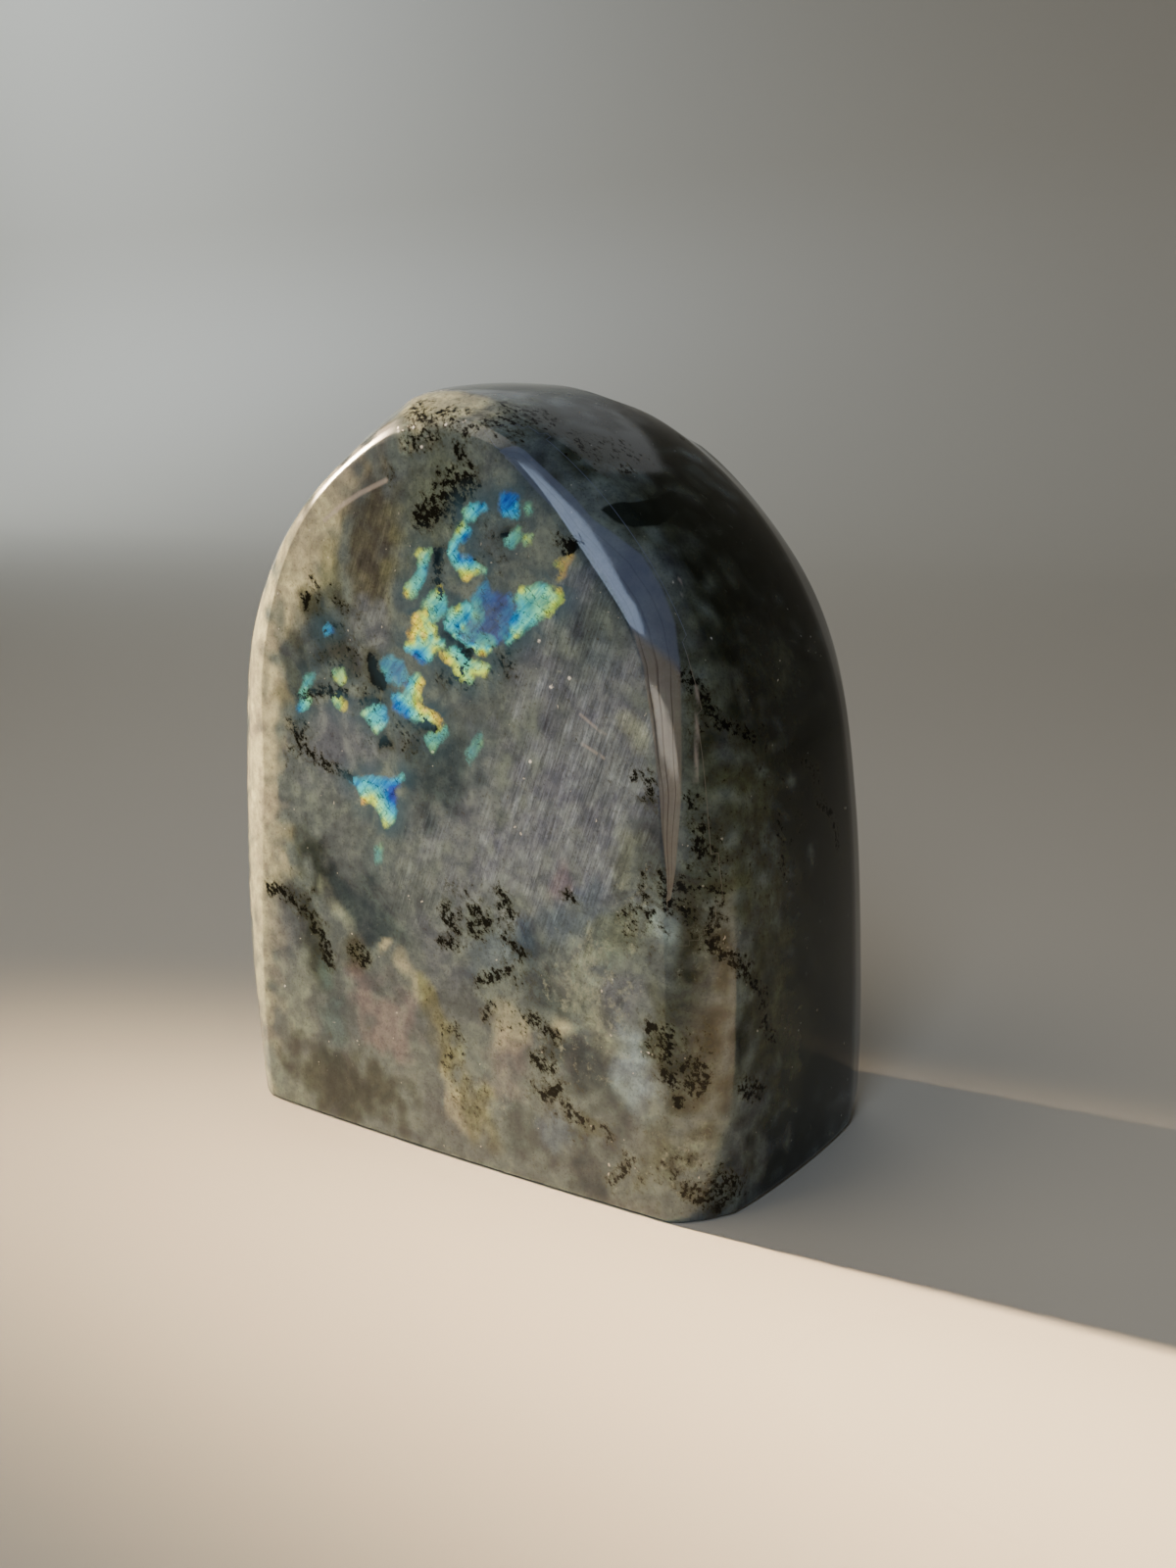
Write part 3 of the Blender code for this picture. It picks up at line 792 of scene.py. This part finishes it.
# %% Fields of crumbs
# Each field is a spot, a length, a width, a lean in degrees and a strength
CRUMB_FIELDS = {
    "rough pit": ((567, 559), 2.8, 1.9, 55, 1.5),
    "left flashes": ((345, 650), 9, 8, 0, 0.8),
    "left of the ring": ((312, 612), 5, 3, 0, 0.9),
    "left edge": ((303, 745), 6, 3.5, 0, 0.9),
    "between the claws": ((378, 705), 7, 6, 0, 0.8),
    "under the stair": ((420, 745), 4, 6, 0, 0.8),
    "round the crack": ((474, 674), 4, 6, -20, 0.8),
    "under the right field": ((515, 676), 4.5, 4, 0, 0.9),
    "above the flashes": ((455, 510), 6, 5, 40, 0.9),
    "round the crescent": ((510, 545), 6, 6, 0, 0.55),
    "crown": ((535, 425), 6, 9, 0, 1.0),
    "left crown": ((440, 440), 3.5, 9, 10, 1.0),
    "crown spot": ((396, 478), 3, 3, 0, 0.9),
    "top right": ((615, 455), 7, 9, 0, 0.8),
    "left vein": ((318, 940), 9, 4, -35, 0.7),
    "middle grains": ((490, 940), 6, 10, 0, 0.75),
    "middle low grains": ((520, 1010), 8, 7, 0, 0.55),
    "olive vein": ((470, 1090), 12, 4, -30, 0.7),
    "low grains": ((570, 1110), 9, 6, -35, 0.7),
    "moss grains": ((652, 930), 7, 4.5, 0, 0.85),
    "ridge grains": ((655, 790), 4.5, 3, 0, 1.0),
    "corner grains": ((690, 1085), 9, 6, 0, 0.7),
    "foot corner": ((680, 1190), 6, 8, 0, 0.7),
    "bottom corner": ((728, 1218), 4, 6, 0, 1.0),
    "rim": ((722, 900), 14, 5, 0, 0.8),
    "upper rim": ((715, 720), 7, 4, 0, 0.7),
    "side": ((790, 820), 40, 12, 0, 0.55),
    "back crumbs": ((-18, 30, 58), 9, 12, 0, 0.8),
    "back vein crumbs": ((20, 30, 34), 12, 8, 30, 0.8),
    "back low crumbs": ((-18, 30, 18), 7, 11, 0, 0.75),
    "back crown crumbs": ((-4, 26, 84), 6, 12, 0, 0.85),
    "left side high": ((-44, 6, 72), 8, 7, 30, 0.8),
    "left side middle": ((-46, -4, 48), 6, 9, 0, 0.75),
    "left side low": ((-46, 8, 22), 9, 6, 25, 0.8),
    "top crumbs": ((-5, 10, 98), 7, 12, 0, 0.75),
}
print("Crumb fields:", len(CRUMB_FIELDS))

# %% Fields of specks, satin and silk
SPECK_FIELDS = {
    "lower right": ((610, 1010), 12, 9, 0, 1.0),
    "low": ((600, 1070), 8, 12, 0, 0.6),
    "foot": ((500, 1120), 8, 9, 0, 0.7),
    "foot corner": ((690, 1180), 8, 8, 0, 0.8),
    "moss": ((645, 930), 9, 5, 0, 0.8),
    "crown": ((470, 420), 6, 14, 0, 1.0),
    "upper face": ((460, 530), 11, 10, 0, 0.5),
    "rim": ((715, 960), 12, 4, 0, 0.5),
    "by the triangle": ((470, 700), 5, 4, 0, 0.6),
    "back low": ((10, 30, 20), 10, 14, 0, 0.9),
    "back high": ((-5, 28, 80), 9, 12, 0, 0.7),
    "left side": ((-46, 4, 30), 20, 9, 0, 0.6),
}
SATIN_FIELDS = {
    "left crown": ((365, 467), 20, 7, 45, 1.0),
    "left rim": ((258, 760), 50, 6, 0, 0.6),
    "crown": ((470, 420), 6, 14, 0, 0.7),
    "foot corner": ((700, 1150), 14, 8, 0, 0.4),
    "crown top": ((590, 412), 9, 24, -10, 1.0),
}
SILK_FIELDS = {
    "silky field": ((590, 800), 30, 18, 18, 1.0),
    "upper silk": ((590, 640), 14, 10, 18, 0.8),
    "left silk": ((380, 570), 18, 8, 6, 0.6),
    "low left silk": ((430, 880), 12, 8, 20, 0.7),
    "back silk": ((8, 30, 50), 26, 18, -18, 1.0),
}


def strongest_of(fields):
    """The strongest of these soft spots at each point of the skin."""
    strongest = np.zeros(len(skin))
    for spot, length, width, lean, strength in fields.values():
        strongest = np.maximum(strongest, strength * soft_spot(spot, length, width, lean))
    return strongest


keep_on_mesh("crumbs", strongest_of(CRUMB_FIELDS))
keep_on_mesh("specks", strongest_of(SPECK_FIELDS))
keep_on_mesh("satin", strongest_of(SATIN_FIELDS))
keep_on_mesh("silk", strongest_of(SILK_FIELDS))

# %% [markdown]
# The band along the right ridge
#
# The wheel left a narrow flat strip between the face and the right rim, and fine curved lines run
# along it. The skin keeps how far across the strip each point lies, from 0 at its left edge to 1 at
# its right, so that the material can draw the lines along it.

# %% Measure across the band
BAND_EDGE = [  # the pixels of its left edge, and its width there in millimetres
    (522, 474, 2.4), (545, 500, 2.8), (567, 523, 3.0), (583, 545, 3.2), (600, 566, 4.2), (617, 590, 5.4),
    (632, 618, 5.6), (645, 648, 5.4), (655, 680, 4.6), (661, 720, 4.0), (667, 765, 3.4), (672, 810, 2.8),
    (675, 850, 2.1), (679, 885, 1.3), (681, 915, 0.5),
]
band_share = np.full(len(skin), OUTSIDE)
band_nearest = np.full(len(skin), -OUTSIDE)
for (*pixel, width), (*next_pixel, next_width) in zip(BAND_EDGE, BAND_EDGE[1:]):
    start, facing = on_stone(pixel)
    end = on_stone(next_pixel)[0]
    along = end - start
    rightward = np.cross(facing, along)
    rightward /= np.linalg.norm(rightward)
    near = distance_to_segment(skin, start, end)
    closest = near < band_nearest
    travelled = np.clip((skin - start) @ along / (along @ along), 0.0, 1.0)
    local_width = width + (next_width - width) * travelled
    band_share[closest] = (near * np.sign((skin - start) @ rightward) / local_width)[closest]
    band_nearest[closest] = near[closest]
keep_on_mesh("band_share", band_share)

# %% [markdown]
# The pits
#
# The crack and the pits are real hollows, so the skin sinks there by up to 0.25 mm.

# %% Sink the pits
pitted = (skin - skin_facing * sunk[:, None]) * MM
stone.data.vertices.foreach_set("co", pitted.astype(np.float32).ravel())
stone.data.update()
print("Points in the pits:", int((sunk > 0).sum()))

# %% [markdown]
# Building the finish
#
# The finish is one material. A few short helpers keep its nodes readable: each adds a node, sets or
# links its sockets and returns what comes out. All lengths inside it are in millimetres, so a noise
# with a size of 2 makes spots about 2 mm across.

# %% Node helpers
finish = bpy.data.materials.new("polished_labradorite")
finish.use_nodes = True
tree = finish.node_tree
shader = tree.nodes["Principled BSDF"]


def add_node(kind, sockets, **settings):
    made = tree.nodes.new("ShaderNode" + kind)
    for name, value in settings.items():
        setattr(made, name, value)
    for name, value in sockets.items():
        if isinstance(value, bpy.types.NodeSocket):
            tree.links.new(value, made.inputs[name])
        else:
            made.inputs[name].default_value = value
    return made


def math_node(operation, first, second=0.0):
    return add_node("Math", {0: first, 1: second}, operation=operation).outputs[0]


def plus(first, second):
    return math_node("ADD", first, second)


def minus(first, second):
    return math_node("SUBTRACT", first, second)


def times(first, second):
    return math_node("MULTIPLY", first, second)


def larger(first, second):
    return math_node("MAXIMUM", first, second)


def fade(value, low, high):
    """0 below low, 1 above high, and smooth between them."""
    sockets = {"Value": value, "From Min": low, "From Max": high}
    return add_node("MapRange", sockets, interpolation_type="SMOOTHSTEP").outputs["Result"]


def mixed(share, under, over, way="MIX"):
    """One colour over another. Sockets 6 and 7 are the two colours and output 2 is the result."""
    made = add_node("Mix", {0: share, 6: under, 7: over}, data_type="RGBA", blend_type=way)
    return made.outputs[2]


def colour(red, green, blue):
    return (red, green, blue, 1.0)


place = add_node("TexCoord", {}).outputs["Object"]
millimetres = add_node("VectorMath", {0: place, "Scale": 1 / MM}, operation="SCALE").outputs[0]


def noise(size, detail=3.0, roughness=0.55, distortion=0.0, where=millimetres):
    sockets = {"Vector": where, "Scale": 1 / size, "Detail": detail}
    return add_node("TexNoise", sockets | {"Roughness": roughness, "Distortion": distortion}).outputs["Fac"]


def leaning(lean, across, along):
    """Coordinates for a grain this wide and this long, in millimetres, which leans this many degrees to
    the right on the front face."""
    turn = (0.0, math.radians(lean), 0.0)
    sockets = {"Vector": millimetres, "Rotation": turn, "Scale": (across, across, along)}
    return add_node("Mapping", sockets, vector_type="TEXTURE").outputs[0]


def lines_along(value, size):
    """Noise along one value only, which draws lines where the value is constant."""
    sockets = {"W": value, "Scale": 1 / size, "Detail": 3.0}
    return add_node("TexNoise", sockets, noise_dimensions="1D").outputs["Fac"]


def tinted(base, red, green, blue):
    return mixed(1.0, base, colour(red, green, blue), "MULTIPLY")


def shaded(base, share, red, green, blue):
    """The base, tinted where the share is 1."""
    return mixed(share, base, tinted(base, red, green, blue))


def covered(base, share, red, green, blue):
    """The base, covered with a colour where the share is 1."""
    return mixed(share, base, colour(red, green, blue))


def on_mesh(name):
    return add_node("Attribute", {}, attribute_name=name).outputs["Fac"]


print("Nodes so far:", len(tree.nodes))


# %% [markdown]
# The body
#
# The painted clouds are only soft shapes. Real feldspar is mottled at every scale: blotches of a
# centimetre, specks below a millimetre, and cleavage that draws fine straight lines. So the clouds
# are lightened and darkened by three sizes of noise, the speck fields curdle into pale and dark
# lumps, and the silky fields get streaks that lean with the cleavage. A sparse noise adds pale
# points everywhere as a painted sparkle of highlights.

# %% Body colour
CLEAVAGE_LEAN = 20  # degrees to the right
POINT_GREY = (0.25, 0.28, 0.23)
PAINTED_SPARKLE = (0.60, 0.58, 0.52)
clouds = add_node("Attribute", {}, attribute_name="cloud_colour").outputs["Color"]
blotches = noise(7.0, detail=5.0, roughness=0.6, distortion=0.8)
mottle = noise(1.7, detail=6.0, roughness=0.6)
fine = noise(0.30, detail=2.0)
body = mixed(fade(blotches, 0.38, 0.66), tinted(clouds, 1.16, 1.18, 1.06), tinted(clouds, 0.70, 0.69, 0.72))
body = mixed(fade(mottle, 0.36, 0.68), tinted(body, 0.80, 0.80, 0.82), tinted(body, 1.28, 1.26, 1.20))
body = shaded(body, fade(fine, 0.52, 0.72), 0.72, 0.72, 0.70)
curd = noise(2.6, detail=6.0, roughness=0.7, distortion=0.6)
curd_share = times(on_mesh("specks"), 0.8)
body = shaded(body, times(curd_share, fade(curd, 0.52, 0.64)), 1.55, 1.70, 1.62)
body = shaded(body, times(curd_share, fade(curd, 0.48, 0.38)), 0.42, 0.45, 0.46)

silk = on_mesh("silk")
broad_silk = noise(1.0, detail=4.0, roughness=0.6, where=leaning(CLEAVAGE_LEAN, 1.3, 16.0))
fine_silk = noise(1.0, detail=4.0, roughness=0.7, where=leaning(CLEAVAGE_LEAN, 0.30, 6.0))
body = shaded(body, times(silk, fade(broad_silk, 0.42, 0.60)), 1.24, 1.24, 1.28)
body = shaded(body, times(silk, fade(fine_silk, 0.50, 0.62)), 1.42, 1.42, 1.46)
body = shaded(body, times(silk, fade(fine_silk, 0.47, 0.36)), 0.66, 0.66, 0.67)

speck_noise = noise(1.3, detail=6.0, roughness=0.75)
speck_level = plus(speck_noise, times(on_mesh("specks"), 0.16))
body = covered(body, times(fade(speck_level, 0.62, 0.80), 0.6), *POINT_GREY)

# painted highlights: a sparse sparkle of pale points
painted_sparkle = fade(noise(0.8, detail=1.0), 0.77, 0.82)
body = covered(body, times(painted_sparkle, 0.6), *PAINTED_SPARKLE)
print("Nodes with the body:", len(tree.nodes))

# %% [markdown]
# Grains over the body
#
# The grain lines and fields only say where grains may be. Fine noise that leans with the stone's
# fabric is let through there, so it turns into separate black grains, each with an olive halo. A few
# stray grains lie everywhere.

# %% Dark grains
FABRIC_LEAN = -48  # degrees, so to the left
HALO_OLIVE = (0.040, 0.042, 0.020)
ORE_BLACK = (0.005, 0.005, 0.004)
SCRATCH_AND_GLINT_PINK = (0.42, 0.38, 0.36)
PAINTED_GLINT_WHITE = (0.80, 0.80, 0.78)
LENS_BLACK = (0.006, 0.009, 0.007)
torn = noise(1.1, detail=5.0, roughness=0.7)
blot_edge = plus(on_mesh("dark_depth"), times(minus(torn, 0.5), 3.2))
blots = fade(blot_edge, -0.15, 0.20)
crumb_noise = noise(1.0, detail=5.0, roughness=0.72, where=leaning(FABRIC_LEAN, 0.66, 0.92))
chain_density = times(fade(on_mesh("grain_depth"), -1.5, 0.5), 0.24)
field_density = times(on_mesh("crumbs"), 0.20)
crumb_level = plus(crumb_noise, larger(chain_density, field_density))
crumbs = fade(crumb_level, 0.705, 0.745)
halo = larger(fade(crumb_level, 0.56, 0.76), fade(blot_edge, -1.6, 0.1))
dark = larger(blots, crumbs)
body = covered(body, times(halo, 0.7), *HALO_OLIVE)
body = covered(body, times(dark, 0.97), *ORE_BLACK)
# pale scratches, with painted glints along two ridges
pale = times(fade(on_mesh("pale_depth"), -0.1, 0.3), fade(torn, 0.25, 0.40))
body = covered(body, times(pale, 0.5), *SCRATCH_AND_GLINT_PINK)
# painted highlights: the small white glints
body = covered(body, fade(on_mesh("painted_glint_depth"), 0.05, 0.30), *PAINTED_GLINT_WHITE)
lens = fade(on_mesh("lens_depth"), -0.2, 0.15)
body = covered(body, times(lens, 0.9), *LENS_BLACK)
print("Nodes with the grains:", len(tree.nodes))

# %% [markdown]
# The band's painted reflection and lines
#
# The strip beside the face carries a painted reflection, beige below a given height and blue above it, over
# the stone's own colour, and thin dark lines run along it.

# %% The band
# painted reflection: the strip takes the beige of a reflected floor below the turn and the blue of a
# reflected window above it
BAND_TURN = 71.5  # the height in millimetres where the band's left edge turns from beige to blue
BAND_REFLECTED_BEIGE = (0.21, 0.19, 0.16)
BAND_REFLECTED_BLUE = (0.12, 0.15, 0.24)
wobble = times(noise(14.0, detail=1.0), 0.5)
across = on_mesh("band_share")
height = add_node("SeparateXYZ", {0: millimetres}).outputs["Z"]
above_turn = plus(height, times(across, 5.0))
on_band = times(fade(across, 0.0, 0.08), fade(across, 1.0, 0.92))
reflected_blue_share = fade(above_turn, BAND_TURN - 1.0, BAND_TURN + 1.0)
band_reflection = mixed(reflected_blue_share, colour(*BAND_REFLECTED_BEIGE), colour(*BAND_REFLECTED_BLUE))
band_lines = lines_along(plus(across, wobble), 0.11)
# the painted reflection covers the strip at 60 percent
body = mixed(times(on_band, 0.6), body, band_reflection)
line_share = larger(fade(above_turn, BAND_TURN + 4.0, BAND_TURN - 6.0), 0.3)
line_share = times(line_share, fade(band_lines, 0.46, 0.36))
body = shaded(body, times(on_band, line_share), 0.42, 0.38, 0.36)
print("Nodes with the band:", len(tree.nodes))

# %% [markdown]
# The flash colours
#
# A ramp holds the colours from violet through blue and green to orange. The hue painted on the mesh
# picks the place on the ramp, and drifts a little with noise and towards gold at a patch's edge. Fine
# slanting strokes and thin dark cracks break the sheet of colour, as the crystal's layers do. A
# patch's middle is deeper in tone, and a dim blue aura fades into the stone round it.

# %% Flash colours
FLASH_RAMP = [
    (VIOLET, (0.050, 0.050, 0.300)),
    (BLUE, (0.015, 0.090, 0.550)),
    (AZURE, (0.020, 0.300, 0.760)),
    (CYAN, (0.080, 0.700, 0.840)),
    (GREEN, (0.240, 0.920, 0.620)),
    (LIME, (0.640, 0.980, 0.160)),
    (GOLD, (1.000, 0.940, 0.100)),
    (ORANGE, (0.950, 0.620, 0.100)),
]
LAYER_LEAN = 48
flash_torn = noise(0.9, detail=5.0, roughness=0.7)
flash_edge = plus(on_mesh("flash_depth"), times(minus(flash_torn, 0.5), 1.4))
layers = noise(1.0, detail=5.0, roughness=0.65, where=leaning(LAYER_LEAN, 0.6, 2.6))
edge_gold = times(fade(flash_edge, 0.9, 0.0), 0.04)
hue = plus(on_mesh("flash_hue"), times(minus(layers, 0.5), 0.22))
hue = plus(hue, edge_gold)
ramp = add_node("ValToRGB", {"Fac": hue})
while len(ramp.color_ramp.elements) < len(FLASH_RAMP):
    ramp.color_ramp.elements.new(0.5)
for stop, (position, value) in zip(ramp.color_ramp.elements, FLASH_RAMP):
    stop.position = position
    stop.color = colour(*value)
glow = ramp.outputs["Color"]
print("Colours on the ramp:", len(ramp.color_ramp.elements))

# %% Break the colour up and lay it on the body
CRACK_LEAN = -50
AURA_BLUE = (0.032, 0.078, 0.118)
cells = noise(2.4, detail=4.0, roughness=0.6)
glow = shaded(glow, fade(cells, 0.50, 0.36), 0.68, 0.76, 0.86)
glow = covered(glow, times(fade(cells, 0.56, 0.68), 0.16), 0.70, 0.95, 0.85)
inner = fade(on_mesh("flash_depth"), 0.5, 2.0)
glow = shaded(glow, inner, 0.58, 0.58, 0.70)
crack_noise = noise(1.6, detail=3.0, where=leaning(CRACK_LEAN, 0.8, 1.8))
beside_crack = math_node("ABSOLUTE", minus(crack_noise, 0.5))
glow = shaded(glow, fade(beside_crack, 0.018, 0.004), 0.30, 0.30, 0.30)
sheen = shaded(glow, fade(layers, 0.56, 0.36), 0.55, 0.62, 0.70)
aura = times(fade(on_mesh("flash_depth"), -4.0, 0.5), on_mesh("flash_strength"))
aura = times(aura, fade(blotches, 0.36, 0.58))
body = covered(body, times(aura, 0.75), *AURA_BLUE)
flash_share = times(fade(flash_edge, -0.65, 0.35), on_mesh("flash_strength"))
flash_share = times(flash_share, minus(1.0, dark))
surface = mixed(flash_share, body, sheen)
tree.links.new(surface, shader.inputs["Base Color"])
print("Nodes with the flashes:", len(tree.nodes))

# %% [markdown]
# Polish
#
# The stone is polished to a wet gloss but was never perfect: hair scratches run along the ground
# strips, the dark grains are pitted and dull, and a haze of small marks softens the shine.

# %% Gloss and relief
SCRATCH_LEAN = 14
haze = noise(6.0, detail=4.0)
gloss = add_node("MapRange", {"Value": haze, "To Min": 0.05, "To Max": 0.11}).outputs["Result"]
gloss = plus(gloss, times(dark, 0.05))
gloss = plus(gloss, times(on_mesh("satin"), 0.20))
tree.links.new(gloss, shader.inputs["Roughness"])
shader.inputs["IOR"].default_value = 1.43
shine = minus(0.5, times(dark, 0.4))
tree.links.new(shine, shader.inputs["Specular IOR Level"])

scratches = noise(1.0, detail=3.0, where=leaning(SCRATCH_LEAN, 0.2, 20.0))
relief = minus(times(scratches, 0.05), times(dark, 0.12))
relief = plus(relief, times(mottle, 0.06))
bump = add_node("Bump", {"Height": relief, "Strength": 0.25, "Distance": 0.2 * MM})
tree.links.new(bump.outputs["Normal"], shader.inputs["Normal"])
stone.data.materials.append(finish)
print("Nodes in the finish:", len(tree.nodes))

# %% [markdown]
# The floor and the light
#
# A plain pale floor sweeps up behind. A narrow beam of warm low sun from the left grazes the front
# face. A cool high window adds its reflection to the blue line, which is also painted, along the
# right-hand strip, and a low card in front fills the face a little. One light is for the backdrop,
# one for the back and one for the top, all weak, so that the right rim stays dark over its painted shade.

# %% Floor
FLOOR_SIZE = 3.2  # metres, as all lengths here
SWEEP_Y = 0.9
SWEEP_HEIGHT = 1.4
SWEEP_RADIUS = 0.25
SWEEP_STEPS = 12
FLOOR_COLOUR = (0.66, 0.60, 0.49)
FLOOR_ROUGHNESS = 0.6

bpy.ops.mesh.primitive_plane_add(size=FLOOR_SIZE, location=(0.0, SWEEP_Y - FLOOR_SIZE / 2, 0.0))
floor = bpy.context.object
floor.name = "floor"
bpy.ops.object.mode_set(mode="EDIT")
bpy.ops.mesh.select_all(action="DESELECT")
bpy.ops.object.mode_set(mode="OBJECT")
for edge in floor.data.edges:
    edge.select = all(floor.data.vertices[i].co.y > 0 for i in edge.vertices)
bpy.ops.object.mode_set(mode="EDIT")
bpy.ops.mesh.select_mode(type="EDGE")
bpy.ops.mesh.extrude_region_move(TRANSFORM_OT_translate={"value": (0.0, 0.0, SWEEP_HEIGHT)})
bpy.ops.object.mode_set(mode="OBJECT")
bpy.ops.object.transform_apply(location=True, rotation=False, scale=False)
sweep = floor.modifiers.new("sweep", "BEVEL")
sweep.width = SWEEP_RADIUS
sweep.segments = SWEEP_STEPS
bpy.ops.object.modifier_apply(modifier=sweep.name)
bpy.ops.object.shade_smooth()
pale_floor = bpy.data.materials.new("pale_floor")
pale_floor.use_nodes = True
floor_inputs = pale_floor.node_tree.nodes["Principled BSDF"].inputs
floor_inputs["Base Color"].default_value = colour(*FLOOR_COLOUR)
floor_inputs["Roughness"].default_value = FLOOR_ROUGHNESS
floor.data.materials.append(pale_floor)
print("Floor faces:", len(floor.data.polygons))

# %% Lights
WARM = (1.0, 0.75, 0.48)
COOL = (0.60, 0.75, 1.0)
CREAMY = (1.0, 0.90, 0.76)
SOFT = (0.92, 0.96, 1.0)
SKY = (0.76, 0.87, 1.0)
STONE_MIDDLE = (0.0, 0.0, 0.05)
BY_THE_STONE = (0.0, -0.042, 0.045)
BACKDROP = (-1.10, 0.9, 0.25)
ROOM_TONE = (0.50, 0.53, 0.58)
ROOM_STRENGTH = 0.075

# azimuth, elevation, distance, width, height, power, tone, spread, aim; angles are in degrees
LIGHTS = {
    "warm_low_sun": (-86.0, 22.0, 0.9, 0.04, 0.09, 0.27, WARM, 8.0, BY_THE_STONE),
    "cool_high_window": (19.0, 42.0, 0.8, 0.20, 0.34, 0.60, COOL, 120.0, STONE_MIDDLE),
    "low_front_card": (20.0, 3.0, 0.8, 0.30, 0.16, 0.38, CREAMY, 120.0, STONE_MIDDLE),
    "backdrop_wash": (-35.0, 40.0, 1.1, 0.5, 0.5, 3.5, SKY, 80.0, BACKDROP),
    "back_fill": (-150.0, 50.0, 1.0, 0.9, 0.9, 0.6, SOFT, 120.0, STONE_MIDDLE),
    "soft_top": (-40.0, 60.0, 0.9, 0.5, 0.5, 0.8, CREAMY, 120.0, STONE_MIDDLE),
}


def add_light(name, azimuth, elevation, distance, width, height, power, tone, spread, aim):
    """A rectangle of light that faces its aim. Azimuth 0 is in front, and -90 is on the left."""
    turn, rise = math.radians(azimuth), math.radians(elevation)
    away = Vector((math.sin(turn) * math.cos(rise), -math.cos(turn) * math.cos(rise), math.sin(rise)))
    bpy.ops.object.light_add(type="AREA", location=Vector(aim) + away * distance)
    lamp = bpy.context.object
    lamp.name = name
    lamp.rotation_mode = "QUATERNION"
    lamp.rotation_quaternion = away.to_track_quat("Z", "Y")
    lamp.data.shape = "RECTANGLE"
    lamp.data.size = width
    lamp.data.size_y = height
    lamp.data.energy = power
    lamp.data.color = tone
    lamp.data.spread = math.radians(spread)


for name, settings in LIGHTS.items():
    add_light(name, *settings)

world = bpy.data.worlds.new("studio")
world.use_nodes = True
world_inputs = world.node_tree.nodes["Background"].inputs
world_inputs["Color"].default_value = colour(*ROOM_TONE)
world_inputs["Strength"].default_value = ROOM_STRENGTH
bpy.context.scene.world = world
print("Lights:", len(LIGHTS))
